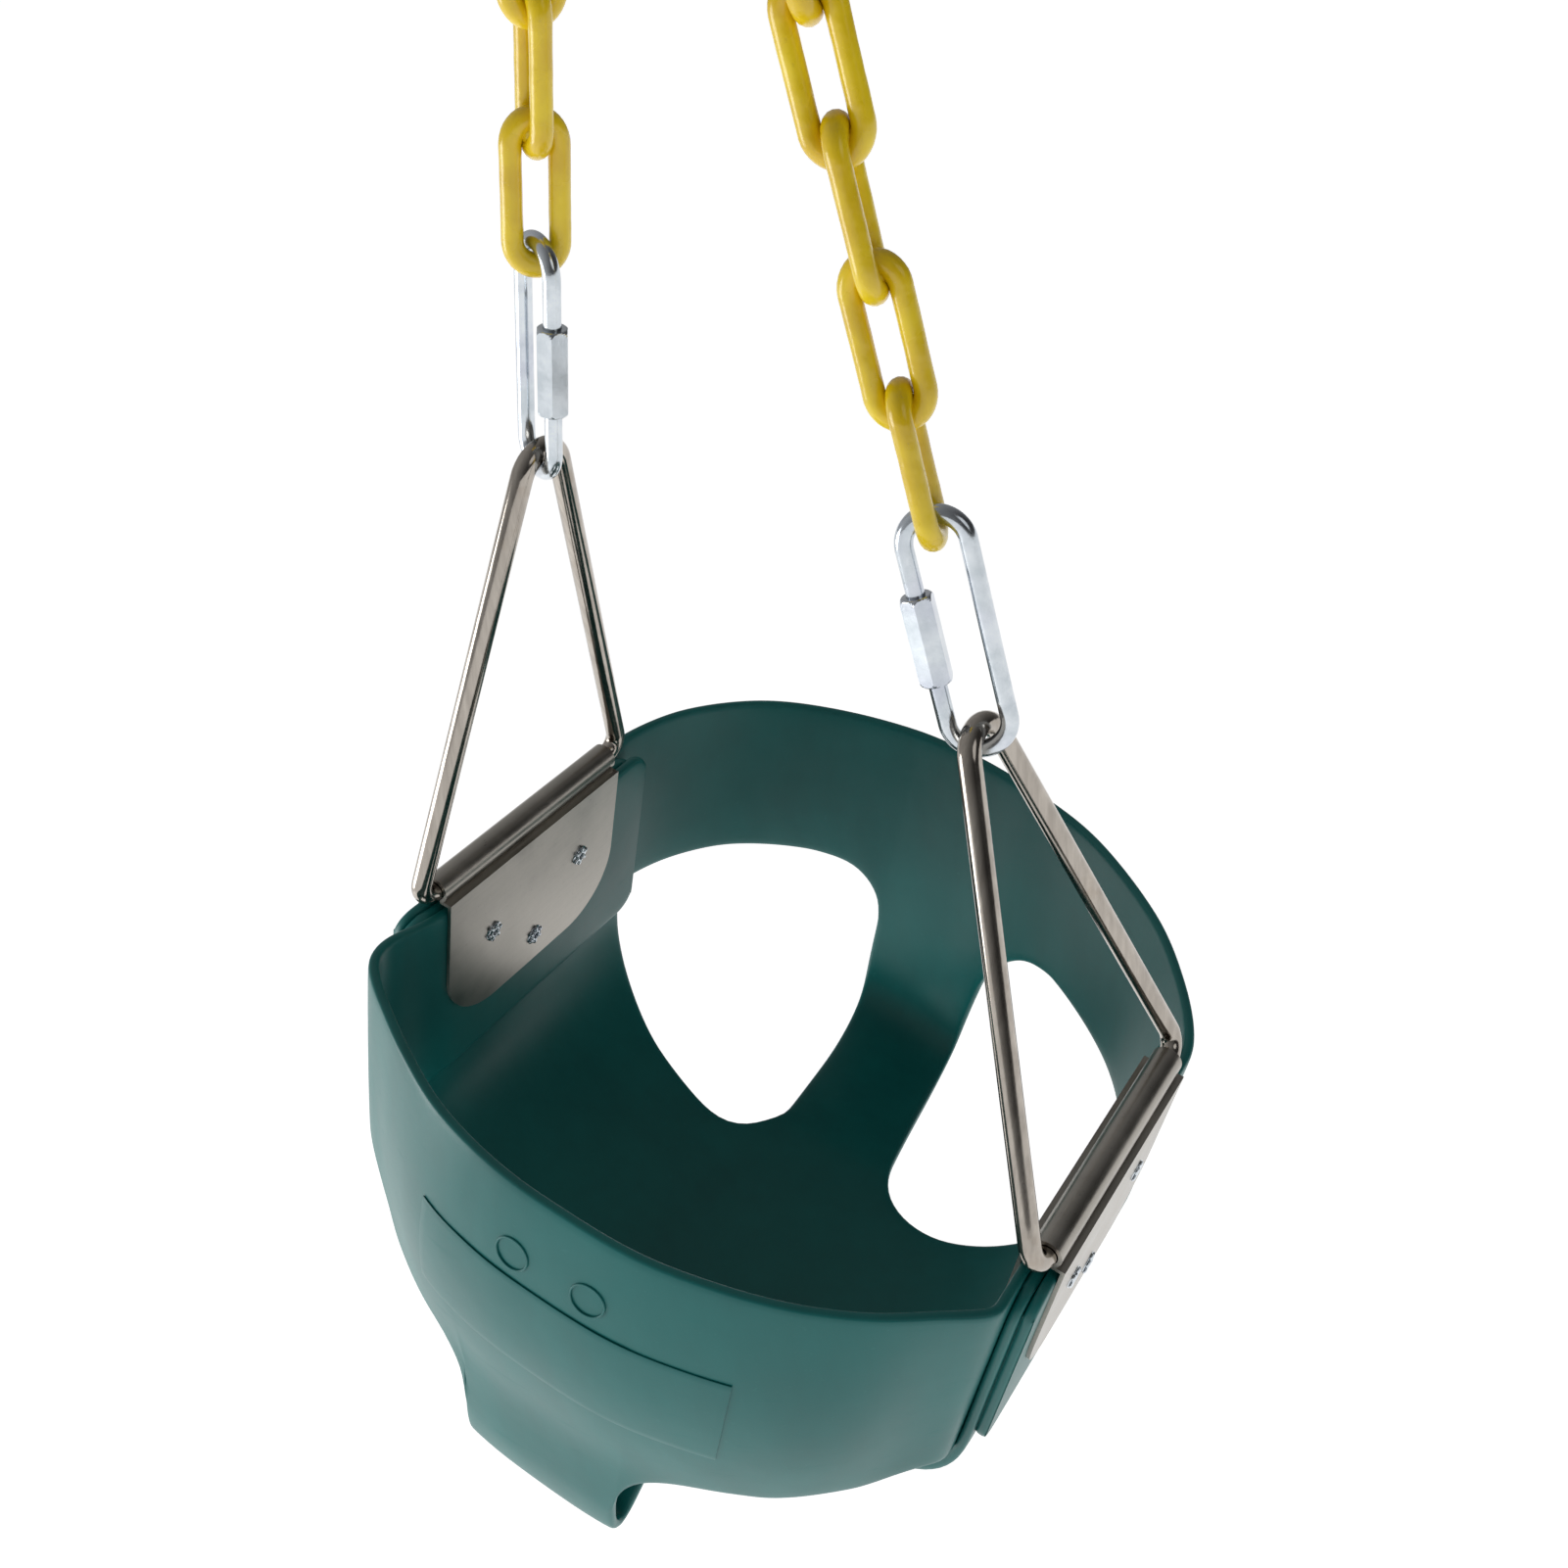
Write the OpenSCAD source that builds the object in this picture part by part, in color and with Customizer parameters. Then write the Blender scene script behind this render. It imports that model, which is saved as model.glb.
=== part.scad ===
// Toddler bucket swing seat hung from two chains. Millimetres, +Z up, +Y is the way the child faces.
// The origin is on the line through the two hook seats, straight above the middle of the seat.

/* [Bucket] */
// distance between the two hinge barrels
seat_width = 265; // [220:1:320]
// distance from the barrel line to the front of the bucket
front_depth = 178; // [140:1:210]
// distance from the barrel line to the back of the bucket
back_depth = 136; // [105:1:165]
// thickness of the moulded sheet
sheet_t = 4.5; // [3.5:0.1:6]
// height of the side, front and back bands
band_h = 94; // [75:1:115]
// drop from the barrel line to the sling floor
floor_drop = 167; // [140:1:200]
// width of the strap between the legs
crotch_w = 62; // [50:1:75]
// width of the strap under the back
back_strap_w = 73; // [55:1:85]

/* [Hinge plates] */
// length of the rolled barrel
plate_len = 108; // [90:1:130]
// height of the plate below the barrel line
plate_h = 77; // [60:1:90]
// radius of the plate's lower corners
plate_r = 30; // [12:1:34]
// plate thickness
plate_t = 1.5; // [1:0.1:2]
// rivet shank diameter
rivet_d = 4.8; // [4:0.1:6]
// rivet head diameter
rivet_head_d = 9.6; // [8:0.1:12]

/* [Hangers] */
// hanger wire diameter
hanger_d = 8; // [6:0.1:10]
// base of the triangle between sharp corners, on the wire centre
hanger_base = 128; // [110:1:150]
// height of the triangle to its sharp apex, on the wire centre
hanger_h = 194.7; // [160:1:230]
// bend radius at the apex, on the wire centre
apex_r = 11; // [9:0.5:14]
// inward lean of each hanger from the vertical
hanger_lean = 15.5; // [5:0.5:25]

/* [Quick links] */
// wire diameter of the quick links
ql_d = 6; // [5:0.1:8]
// quick link width between wire centres
ql_w = 20; // [17:0.5:26]
// quick link length between wire centres
ql_len = 80; // [65:1:95]
// sleeve width across flats
sleeve_af = 10; // [9:0.5:14]
// sleeve length
sleeve_len = 30; // [24:1:34]
// opening that the sleeve closes
ql_gap = 10; // [8:0.5:12]

/* [Chain] */
// diameter of the coated chain wire
chain_d = 7.1; // [6:0.1:9]
// inside length of one link, which is also the chain pitch less the clearance
link_inner = 37.8; // [30:0.1:42]
// sideways play of a link's wire inside its neighbour
side_play = 1; // [0.6:0.1:4]
// inward lean of the chains from the vertical
chain_lean = 11.3; // [5:0.1:20]

/* [Hidden] */
$fn = 48;
gap = 0.3;            // clearance between chain links
hang_gap = 0.8;       // clearance of the quick link in the hanger
ql_gap_in = 0.8;      // clearance of the end links in the quick links
running = 0.35;       // clearance of the hanger in its barrel
rivet_fit = 0.1;      // radial clearance of a rivet in its hole
n_left = 3;           // chain links on the left
n_right = 5;          // chain links on the right
// steps of the smooth curves
steps = 4;
// half distances of the three sheet layers at the plates
mid_x = seat_width / 2;
in_x = mid_x - sheet_t;
out_x = mid_x + sheet_t;
top_z = -9;
band_z = top_z - band_h;
pitch = link_inner - gap;
link_len = link_inner + chain_d;
link_w = 2 * chain_d + side_play;
// the right chain is two links longer, which tilts the seat
seat_tilt = asin((n_right - n_left) * pitch * cos(chain_lean) / seat_width);
base_a = atan(hanger_h / (hanger_base / 2));
corner_r = 7;
corner_t = corner_r / tan(base_a / 2);
apex_z = hanger_h - apex_r / cos(base_a) + apex_r;
hook_up = 2 * ql_len + n_left * pitch - 1.5 * ql_d + gap - 2 * ql_gap_in;
ql_up = apex_z - hanger_d / 2 - ql_d / 2 - hang_gap;
seat_z = -(mid_x * sin(seat_tilt) + ql_up * cos(hanger_lean) + hook_up * cos(chain_lean));
barrel_x = mid_x * cos(seat_tilt);
barrel_dz = mid_x * sin(seat_tilt);
barrel_in = hanger_d / 2 + running;
barrel_out = barrel_in + plate_t;
leaf_in = 1.5 * sheet_t;
leaf_out = leaf_in + plate_t;
rivets = [[-27, -38], [1, -62], [30, -36]];
// twist of each piece about its chain line
left_twist = [48, -34, 62];
right_twist = [-70, 20, -70, 20, -70];
left_ql_twist = -24;
right_ql_twist = 20;

// smooth curve through points
function crp(a, b, c, d, t) = 0.5 * ((2 * b) + (c - a) * t + (2 * a - 5 * b + 4 * c - d) * t * t
    + (3 * b - a - 3 * c + d) * t * t * t);
function curve(p) = let (n = len(p))
    concat([for (i = [0 : n - 2]) for (j = [0 : steps - 1])
        crp(p[max(i - 1, 0)], p[i], p[i + 1], p[min(i + 2, n - 1)], j / steps)], [p[n - 1]]);
function unit(v) = v / norm(v);
function nrm(p, i) = let (d = unit(p[min(i + 1, len(p) - 1)] - p[max(i - 1, 0)])) [-d[1], d[0]];
function ribbon(p, t) = concat([for (i = [0 : len(p) - 1]) p[i] + nrm(p, i) * t / 2],
    [for (i = [len(p) - 1 : -1 : 0]) p[i] - nrm(p, i) * t / 2]);

// plan curves of the sheet, on its middle
fd = front_depth;
bd = back_depth;
front_plan = [[-out_x, 57], [-out_x - 1.5, 68], [-out_x - 3, 83],
    [-0.95 * out_x, 0.635 * fd], [-0.78 * out_x, 0.80 * fd], [-0.56 * out_x, 0.915 * fd],
    [-0.31 * out_x, 0.985 * fd], [-0.1 * out_x, fd], [0.1 * out_x, 0.985 * fd],
    [0.39 * out_x, 0.92 * fd], [0.69 * out_x, 0.765 * fd], [0.875 * out_x, 0.6 * fd],
    [0.985 * out_x, 0.445 * fd],
    [out_x, 57]];
back_plan = [[-in_x, -56], [-in_x - 3, -68], [-in_x - 6.5, -79], [-in_x + 1, -0.67 * bd], [-0.88 * in_x, -0.76 * bd],
    [-0.73 * in_x, -0.845 * bd], [-0.53 * in_x, -0.93 * bd], [-0.29 * in_x, -0.985 * bd],
    [-0.08 * in_x, -bd], [0.16 * in_x, -0.985 * bd], [0.37 * in_x, -0.94 * bd],
    [0.56 * in_x, -0.87 * bd], [0.74 * in_x, -0.775 * bd], [0.9 * in_x, -0.66 * bd],
    [in_x + 1, -77], [in_x + 1.5, -68], [in_x, -56]];
// section of the sling
function slingz(u) = -100 - (floor_drop - 100) * pow(max(0, 1 - pow(abs(u), 2.3)), 1 / 2.3);
sling_sec = concat([[-mid_x, top_z - 1], [-mid_x, -60]],
    [for (u = [-1, -0.985, -0.95, -0.88, -0.76, -0.6, -0.4, -0.2, 0, 0.2, 0.4, 0.6, 0.76, 0.88,
        0.95, 0.985, 1]) [mid_x * u, slingz(u)]],
    [[mid_x, -60], [mid_x, top_z - 1]]);
// side profiles of the two straps
fl = -floor_drop;
crotch_side = [[0.99 * fd, top_z - 60], [0.99 * fd, band_z + 2], [0.985 * fd, -130],
    [0.945 * fd, fl + 14], [0.84 * fd, fl - 5], [0.7 * fd, fl - 8], [0.53 * fd, fl - 4],
    [0.34 * fd, fl - 0.5], [20, fl]];
back_side = [[-0.985 * bd, -70], [-0.99 * bd, -120], [-0.98 * bd, fl + 2], [-0.96 * bd, fl - 25],
    [-0.9 * bd, fl - 36], [-0.84 * bd, fl - 30], [-0.76 * bd, fl - 17], [-0.6 * bd, fl - 4],
    [-0.42 * bd, fl], [-20, fl]];
cc = -6.5;
bc = -8.5;
cw = crotch_w / 2;
sw = back_strap_w / 2;

module plan_band(x, y, p, h) translate([0, 0, -h]) linear_extrude(h)
    polygon(ribbon(concat([[-x, y]], curve(p), [[x, y]]), sheet_t));
module along_y(y0, y1) translate([0, y1, 0]) rotate([90, 0, 0]) linear_extrude(y1 - y0) children();
module along_x(x0, x1) translate([x0, 0, 0]) rotate([90, 0, 90]) linear_extrude(x1 - x0) children();
module rounded(x0, y0, x1, y1, r) {
    translate([x0 + r, y0]) square([x1 - x0 - 2 * r, y1 - y0]);
    translate([x0, y0 + r]) square([x1 - x0, y1 - y0 - 2 * r]);
    for (x = [x0 + r, x1 - r]) for (y = [y0 + r, y1 - r]) translate([x, y]) circle(r);
}

module front_band() {
    intersection() {
        plan_band(out_x, -68, front_plan, 160);
        along_x(-200, 200) rounded(-68, -220, 260, top_z, 12);
        along_y(-100, 260) polygon([[-200, 0], [-200, band_z - 1], [-out_x * 0.8, band_z + 3],
            [cc - cw - 38, band_z + 4.5], [cc - cw - 20, band_z + 2], [cc - cw - 8, band_z - 8],
            [cc - cw, band_z - 28], [cc - cw, -150], [cc + cw, -150], [cc + cw, band_z - 30],
            [cc + cw + 8, band_z - 9], [cc + cw + 18, band_z + 1.5], [cc + cw + 32, band_z + 6],
            [out_x * 0.8, band_z + 5], [200, band_z + 2]]);
    }
}

module back_band() {
    intersection() {
        plan_band(in_x, 79, back_plan, 170);
        along_x(-200, 200) rounded(-260, -230, 79, top_z, 10);
        union() {
            along_y(-30, 100) polygon([[-200, 0], [-200, band_z], [200, band_z], [200, 0]]);
            along_y(-240, -29) polygon([[-200, 0], [-200, band_z], [-in_x, band_z],
                [-0.8 * in_x, band_z - 8], [-0.6 * in_x, band_z - 22], [bc - sw - 8, band_z - 42],
                [bc - sw, band_z - 64], [bc + sw, band_z - 64], [bc + sw + 8, band_z - 40],
                [0.6 * in_x, band_z - 24], [0.8 * in_x, band_z - 12], [in_x, band_z - 3], [200, band_z - 3],
                [200, 0]]);
        }
        along_x(-200, 200) difference() {
            translate([-260, -230]) square([339, 230]);
            difference() {
                translate([69, band_z - 1]) square([12, 11]);
                translate([69, band_z + 10]) circle(10);
            }
        }
    }
}

module sling() {
    intersection() {
        along_y(-80, 80) polygon(ribbon(sling_sec, sheet_t + 0.2));
        along_x(-200, 200) rounded(-70, -260, 76, top_z - 1, 12);
        translate([0, 0, -300]) linear_extrude(300) polygon([[-200, -71], [200, -71], [200, 70],
            [0.97 * mid_x, 70], [0.92 * mid_x, 64], [0.8 * mid_x, 53.5], [0.69 * mid_x, 47.5],
            [0.565 * mid_x, 44], [0.43 * mid_x, 46.7], [0.32 * mid_x, 57], [0.28 * mid_x, 68],
            [-0.14 * mid_x, 68], [-0.17 * mid_x, 56], [-0.22 * mid_x, 47.5], [-0.32 * mid_x, 43.5],
            [-0.49 * mid_x, 47.3], [-0.64 * mid_x, 52.7], [-0.8 * mid_x, 61.5], [-0.92 * mid_x, 69.6],
            [-0.985 * mid_x, 76], [-200, 76]]);
    }
}

module crotch() {
    intersection() {
        along_x(-120, 120) polygon(ribbon(curve(crotch_side), sheet_t));
        translate([0, 0, -300]) linear_extrude(300) polygon([[cc - cw, 250], [cc - cw, 172],
            [cc - cw + 6, 158], [cc - cw + 12, 131], [cc - cw + 15, 110], [cc - cw + 17, 87],
            [cc - cw + 18.5, 66], [cc - cw + 15, 54], [cc - cw + 8, 47], [cc - cw - 2, 42],
            [cc - cw - 2, 20], [cc + cw + 34, 20], [cc + cw + 34, 45], [cc + cw + 24, 49],
            [cc + cw + 18, 57], [cc + cw + 12, 77], [cc + cw + 7, 107], [cc + cw + 2, 143],
            [cc + cw, 165], [cc + cw, 250]]);
        translate([-200, -200, -300]) cube([400, 600, 300 + band_z - 8]);
    }
}

module back_strap() {
    intersection() {
        along_x(-120, 120) polygon(ribbon(curve(back_side), sheet_t));
        translate([bc - sw, -250, -300]) cube([back_strap_w, 230, 300 + band_z - 20]);
    }
}

module seat_place() translate([0, 0, seat_z]) rotate([0, seat_tilt, 0]) children();
module shank_holes(r) for (s = [-1, 1]) for (p = rivets)
    translate([s * mid_x - 20, p[0], p[1]]) rotate([0, 90, 0]) cylinder(h = 40, r = r);

module bucket_seat() color([0.10, 0.42, 0.38]) seat_place() difference() {
    union() { front_band(); back_band(); sling(); crotch(); back_strap(); }
    shank_holes(rivet_d / 2 + rivet_fit);
}

module hinge_plate(s) color([0.62, 0.60, 0.57]) seat_place() translate([s * mid_x, 0, 0]) difference() {
    intersection() {
        along_y(-plate_len / 2, plate_len / 2) difference() {
            union() {
                circle(barrel_out);
                translate([-leaf_out, -5.4]) square([2 * leaf_out, plate_t]);
                for (k = [-1, 1]) translate([k > 0 ? leaf_in : -leaf_out, -plate_h])
                    square([plate_t, plate_h - 4.5]);
            }
            circle(barrel_in);
            translate([-2.6, -9]) square([5.2, 9]);
            translate([-leaf_in, -20]) square([2 * leaf_in, 20 - 5.4]);
        }
        along_x(-30, 30) union() {
            translate([-plate_len / 2, -plate_h + plate_r]) square([plate_len, plate_h]);
            translate([-plate_len / 2 + plate_r, -plate_h]) square([plate_len - 2 * plate_r, plate_h]);
            for (k = [-1, 1]) translate([k * (plate_len / 2 - plate_r), -plate_h + plate_r])
                circle(plate_r);
        }
    }
    for (p = rivets) translate([-20, p[0], p[1]]) rotate([0, 90, 0])
        cylinder(h = 40, r = rivet_d / 2 + rivet_fit);
}

module rivet_set(s) color([0.72, 0.70, 0.66]) seat_place() for (p = rivets)
    translate([s * mid_x, p[0], p[1]]) rotate([0, 90, 0]) difference() {
        union() {
            translate([0, 0, -leaf_out - 1.4]) cylinder(h = 2 * leaf_out + 2.8, r = rivet_d / 2);
            for (k = [-1, 1]) translate([0, 0, k > 0 ? leaf_out : -leaf_out - 1.4])
                cylinder(h = 1.4, r = rivet_head_d / 2);
        }
        for (k = [-1, 1]) translate([0, 0, k > 0 ? leaf_out - 0.4 : -leaf_out - 2])
            cylinder(h = 2.4, r = rivet_d / 2 - 1);
    }

module bend(rc, rw, a0, a1) rotate([90, 0, 90]) rotate([0, 0, a0]) rotate_extrude(angle = a1 - a0)
    translate([rc, 0]) circle(rw);
module rod_yz(p, q, r) translate([0, p[0], p[1]])
    rotate([-atan2(q[0] - p[0], q[1] - p[1]), 0, 0]) cylinder(h = norm(q - p), r = r);

module collar(p, n, r) translate([0, p[0], p[1]]) rotate([-atan2(n[0], n[1]), 0, 0])
    translate([0, 0, -0.4]) cylinder(h = 0.8, r = r + 0.03);

module hanger(s) color([0.55, 0.52, 0.49])
    translate([s * barrel_x, 0, seat_z - s * barrel_dz]) rotate([0, -s * hanger_lean, 0]) {
        r = hanger_d / 2;
        c1 = [hanger_base / 2 - corner_t, corner_r];
        c2 = [0, apex_z - apex_r];
        n = [sin(base_a), cos(base_a)];
        union() {
            rod_yz([-c1[0], 0], [c1[0], 0], r);
            rod_yz(c1 + n * corner_r, c2 + n * apex_r, r);
            mirror([0, 1, 0]) rod_yz(c1 + n * corner_r, c2 + n * apex_r, r);
            translate([0, c1[0], c1[1]]) bend(corner_r, r, -90, 90 - base_a);
            mirror([0, 1, 0]) translate([0, c1[0], c1[1]]) bend(corner_r, r, -90, 90 - base_a);
            translate([0, 0, c2[1]]) bend(apex_r, r, 90 - base_a, 90 + base_a);
            for (k = [0, 1]) mirror([0, k, 0]) {
                collar(c1 + n * corner_r, [-n[1], n[0]], r);
                collar(c2 + n * apex_r, [-n[1], n[0]], r);
                collar([c1[0], 0], [1, 0], r);
            }
        }
    }

// a wire loop standing on z = 0, on its wire centre
module loop(h, w, r) {
    translate([0, 0, h - w / 2]) rotate([90, 0, 0]) rotate_extrude(angle = 180)
        translate([w / 2, 0]) circle(r);
    translate([0, 0, w / 2]) rotate([-90, 0, 0]) rotate_extrude(angle = 180)
        translate([w / 2, 0]) circle(r);
    for (k = [-1, 1]) translate([k * w / 2, 0, w / 2]) cylinder(h = h - w, r = r);
}

// places a piece on the line of one chain, at a distance up that line from the lower quick link
module on_line(s, up, twist) translate([s * (barrel_x - ql_up * sin(hanger_lean)), 0,
    seat_z - s * barrel_dz + ql_up * cos(hanger_lean)]) rotate([0, -s * chain_lean, 0])
    translate([0, 0, up]) rotate([0, 0, twist]) children();

module quick_link(side) color([0.78, 0.80, 0.82]) difference() {
    loop(ql_len, ql_w, ql_d / 2);
    translate([side * ql_w / 2 - ql_d, -ql_d, ql_len / 2 - 2 - ql_gap]) cube([2 * ql_d, 2 * ql_d, ql_gap]);
}
module sleeve(side) color([0.80, 0.82, 0.84])
    translate([side * ql_w / 2, 0, ql_len / 2 - sleeve_len / 2]) difference() {
        cylinder(h = sleeve_len, r = sleeve_af / 2 / cos(30), $fn = 6);
        translate([0, 0, -1]) cylinder(h = sleeve_len + 2, r = ql_d / 2 + 0.1);
    }

function up_link(i) = ql_len - ql_d / 2 - chain_d / 2 - ql_gap_in + (i - 1) * pitch;
module chain_link(s, i, twist) color([0.93, 0.80, 0.10]) on_line(s, up_link(i), twist)
    loop(link_len, link_w, chain_d / 2);
function up_top(n) = up_link(n) + link_len - chain_d / 2 - ql_d / 2 - ql_gap_in;

module left_hinge_plate() hinge_plate(-1);
module right_hinge_plate() hinge_plate(1);
module left_rivets() rivet_set(-1);
module right_rivets() rivet_set(1);
module left_hanger() hanger(-1);
module right_hanger() hanger(1);
module left_quick_link() on_line(-1, 0, left_ql_twist) quick_link(1);
module right_quick_link() on_line(1, 0, right_ql_twist) quick_link(-1);
module left_sleeve() on_line(-1, 0, left_ql_twist) sleeve(1);
module right_sleeve() on_line(1, 0, right_ql_twist) sleeve(-1);
module left_chain_link_1() chain_link(-1, 1, left_twist[0]);
module left_chain_link_2() chain_link(-1, 2, left_twist[1]);
module left_chain_link_3() chain_link(-1, 3, left_twist[2]);
module right_chain_link_1() chain_link(1, 1, right_twist[0]);
module right_chain_link_2() chain_link(1, 2, right_twist[1]);
module right_chain_link_3() chain_link(1, 3, right_twist[2]);
module right_chain_link_4() chain_link(1, 4, right_twist[3]);
module right_chain_link_5() chain_link(1, 5, right_twist[4]);
module left_top_quick_link() on_line(-1, up_top(n_left), left_twist[2] - 86) quick_link(1);
module right_top_quick_link() on_line(1, up_top(n_right), right_twist[4] + 90) quick_link(-1);
module left_top_sleeve() on_line(-1, up_top(n_left), left_twist[2] - 86) sleeve(1);
module right_top_sleeve() on_line(1, up_top(n_right), right_twist[4] + 90) sleeve(-1);

bucket_seat();
left_hinge_plate();
right_hinge_plate();
left_rivets();
right_rivets();
left_hanger();
right_hanger();
left_quick_link();
right_quick_link();
left_sleeve();
right_sleeve();
left_chain_link_1();
left_chain_link_2();
left_chain_link_3();
right_chain_link_1();
right_chain_link_2();
right_chain_link_3();
right_chain_link_4();
right_chain_link_5();
left_top_quick_link();
right_top_quick_link();
left_top_sleeve();
right_top_sleeve();
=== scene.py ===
import math
import bpy
import bmesh
from mathutils import Matrix, Vector


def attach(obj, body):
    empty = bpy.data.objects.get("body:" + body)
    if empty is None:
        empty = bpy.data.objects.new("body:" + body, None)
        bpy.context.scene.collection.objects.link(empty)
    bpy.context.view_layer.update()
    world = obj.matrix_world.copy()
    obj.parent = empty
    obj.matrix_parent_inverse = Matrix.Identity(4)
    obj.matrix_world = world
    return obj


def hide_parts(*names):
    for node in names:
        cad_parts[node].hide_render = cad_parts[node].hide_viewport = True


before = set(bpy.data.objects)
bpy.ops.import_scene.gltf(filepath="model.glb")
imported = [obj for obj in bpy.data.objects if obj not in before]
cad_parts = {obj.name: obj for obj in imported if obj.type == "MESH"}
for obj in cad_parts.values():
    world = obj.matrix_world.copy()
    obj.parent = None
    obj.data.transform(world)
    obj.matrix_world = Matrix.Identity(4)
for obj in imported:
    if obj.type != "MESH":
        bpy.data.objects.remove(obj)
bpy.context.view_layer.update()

mm = 0.001
deg = math.radians

# the seat hangs level front to back and drops to its right, because that chain has two links more
rig = {"seatWidth": 265, "hangerWire": 8, "hangerBase": 128, "hangerHeight": 194.7,
       "cornerRadius": 7,
       "apexRadius": 11, "hangerLean": 15.5, "linkWire": 6, "linkWidth": 20, "linkLength": 80,
       "chainWire": 7.1, "chainInner": 37.8, "chainWidth": 15.2, "chainLean": 11.3,
       "leftCount": 3, "rightCount": 5, "slack": 0.3, "hookSlack": 0.8}

pitch = rig["chainInner"] - rig["slack"]
halfSeat = rig["seatWidth"] / 2
tilt = math.asin((rig["rightCount"] - rig["leftCount"]) * pitch * math.cos(deg(rig["chainLean"]))
                 / rig["seatWidth"])
baseAngle = math.atan(rig["hangerHeight"] / (rig["hangerBase"] / 2))
apexHeight = rig["hangerHeight"] - rig["apexRadius"] / math.cos(baseAngle) + rig["apexRadius"]
hangerUp = apexHeight - rig["hangerWire"] / 2 - rig["linkWire"] / 2 - rig["hookSlack"]
chainUp = (2 * rig["linkLength"] + rig["leftCount"] * pitch - 1.5 * rig["linkWire"] + rig["slack"]
           - 2 * rig["hookSlack"])
seatDrop = -(halfSeat * math.sin(tilt) + hangerUp * math.cos(deg(rig["hangerLean"]))
             + chainUp * math.cos(deg(rig["chainLean"])))
seatPlace = Matrix.Translation((0, 0, seatDrop)) @ Matrix.Rotation(tilt, 4, "Y")


def turn(angle, axis):
    return Matrix.Rotation(deg(angle), 4, axis)


def shift(x, y, z):
    return Matrix.Translation((x, y, z))


def barrelPlace(side):
    return shift(side * halfSeat * math.cos(tilt), 0, seatDrop - side * halfSeat * math.sin(tilt))


def linePlace(side, up, twist):
    start = barrelPlace(side) @ turn(-side * rig["hangerLean"], "Y") @ shift(0, 0, hangerUp)
    return (Matrix.Translation(start.translation) @ turn(-side * rig["chainLean"], "Y")
            @ shift(0, 0, up) @ turn(twist, "Z"))


# ---- shader and geometry node helpers

class Flow:  # one output of a node, with maths
    def __init__(self, graph, socket):
        self.graph, self.socket = graph, socket

    def maths(self, operation, first, second):
        return self.graph.node("Math", {"operation": operation}, {0: first, 1: second})

    def __add__(self, other):
        return self.maths("ADD", self, other)

    def __radd__(self, other):
        return self.maths("ADD", other, self)

    def __sub__(self, other):
        return self.maths("SUBTRACT", self, other)

    def __rsub__(self, other):
        return self.maths("SUBTRACT", other, self)

    def __mul__(self, other):
        return self.maths("MULTIPLY", self, other)

    def __rmul__(self, other):
        return self.maths("MULTIPLY", other, self)

    def __pow__(self, other):
        return self.maths("POWER", self, other)

    def out(self, name):
        return Flow(self.graph, self.socket.node.outputs[name])


class Graph:  # a node tree being written
    def __init__(self, tree):
        self.tree = tree
        self.prefix = "ShaderNode" if tree.type == "SHADER" else "GeometryNode"
        tree.nodes.clear()

    def node(self, kind, settings=None, sockets=None):
        shared = ("Math", "VectorMath", "Mix", "SeparateXYZ", "TexNoise")
        known = "ShaderNode" if kind in shared else self.prefix
        made = self.tree.nodes.new(kind if kind.startswith(("Node", "Function")) else known + kind)
        for name, value in (settings or {}).items():
            setattr(made, name, value)
        for name, value in (sockets or {}).items():
            if isinstance(value, Flow):
                self.tree.links.new(value.socket, made.inputs[name])
            elif value is not None:
                made.inputs[name].default_value = value
        return Flow(self, made.outputs[0]) if len(made.outputs) else made

    def blend(self, amount, low, high):
        made = self.node("Mix", {"data_type": "RGBA"}, {0: amount, 6: low, 7: high})
        return Flow(self, made.socket.node.outputs[2])

    def ranged(self, value, low, high, toLow, toHigh):
        return self.node("MapRange", {}, {0: value, 1: low, 2: high, 3: toLow, 4: toHigh})

    def noise(self, where, scale, detail=3.0, rough=0.5):
        return self.node("TexNoise", {}, {"Vector": where, "Scale": scale, "Detail": detail,
                                          "Roughness": rough})


def linear(red, green, blue):
    def one(v):
        v = v / 255
        return v / 12.92 if v <= 0.04045 else ((v + 0.055) / 1.055) ** 2.4
    return (one(red), one(green), one(blue), 1)


def material(name, write, **fixed):
    made = bpy.data.materials.new(name)
    made.use_nodes = True
    graph = Graph(made.node_tree)
    place = graph.node("TexCoord").out("Object")
    sockets = write(graph, place)
    sockets.update({key.replace("_", " "): value for key, value in fixed.items()})
    shader = graph.node("BsdfPrincipled", {}, sockets)
    graph.node("OutputMaterial", {}, {"Surface": shader})
    print("material", name)
    return made


sheetLook = {"deep": linear(8, 96, 94), "fresh": linear(14, 114, 111), "rough": 0.40, "grain": 1400}


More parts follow.
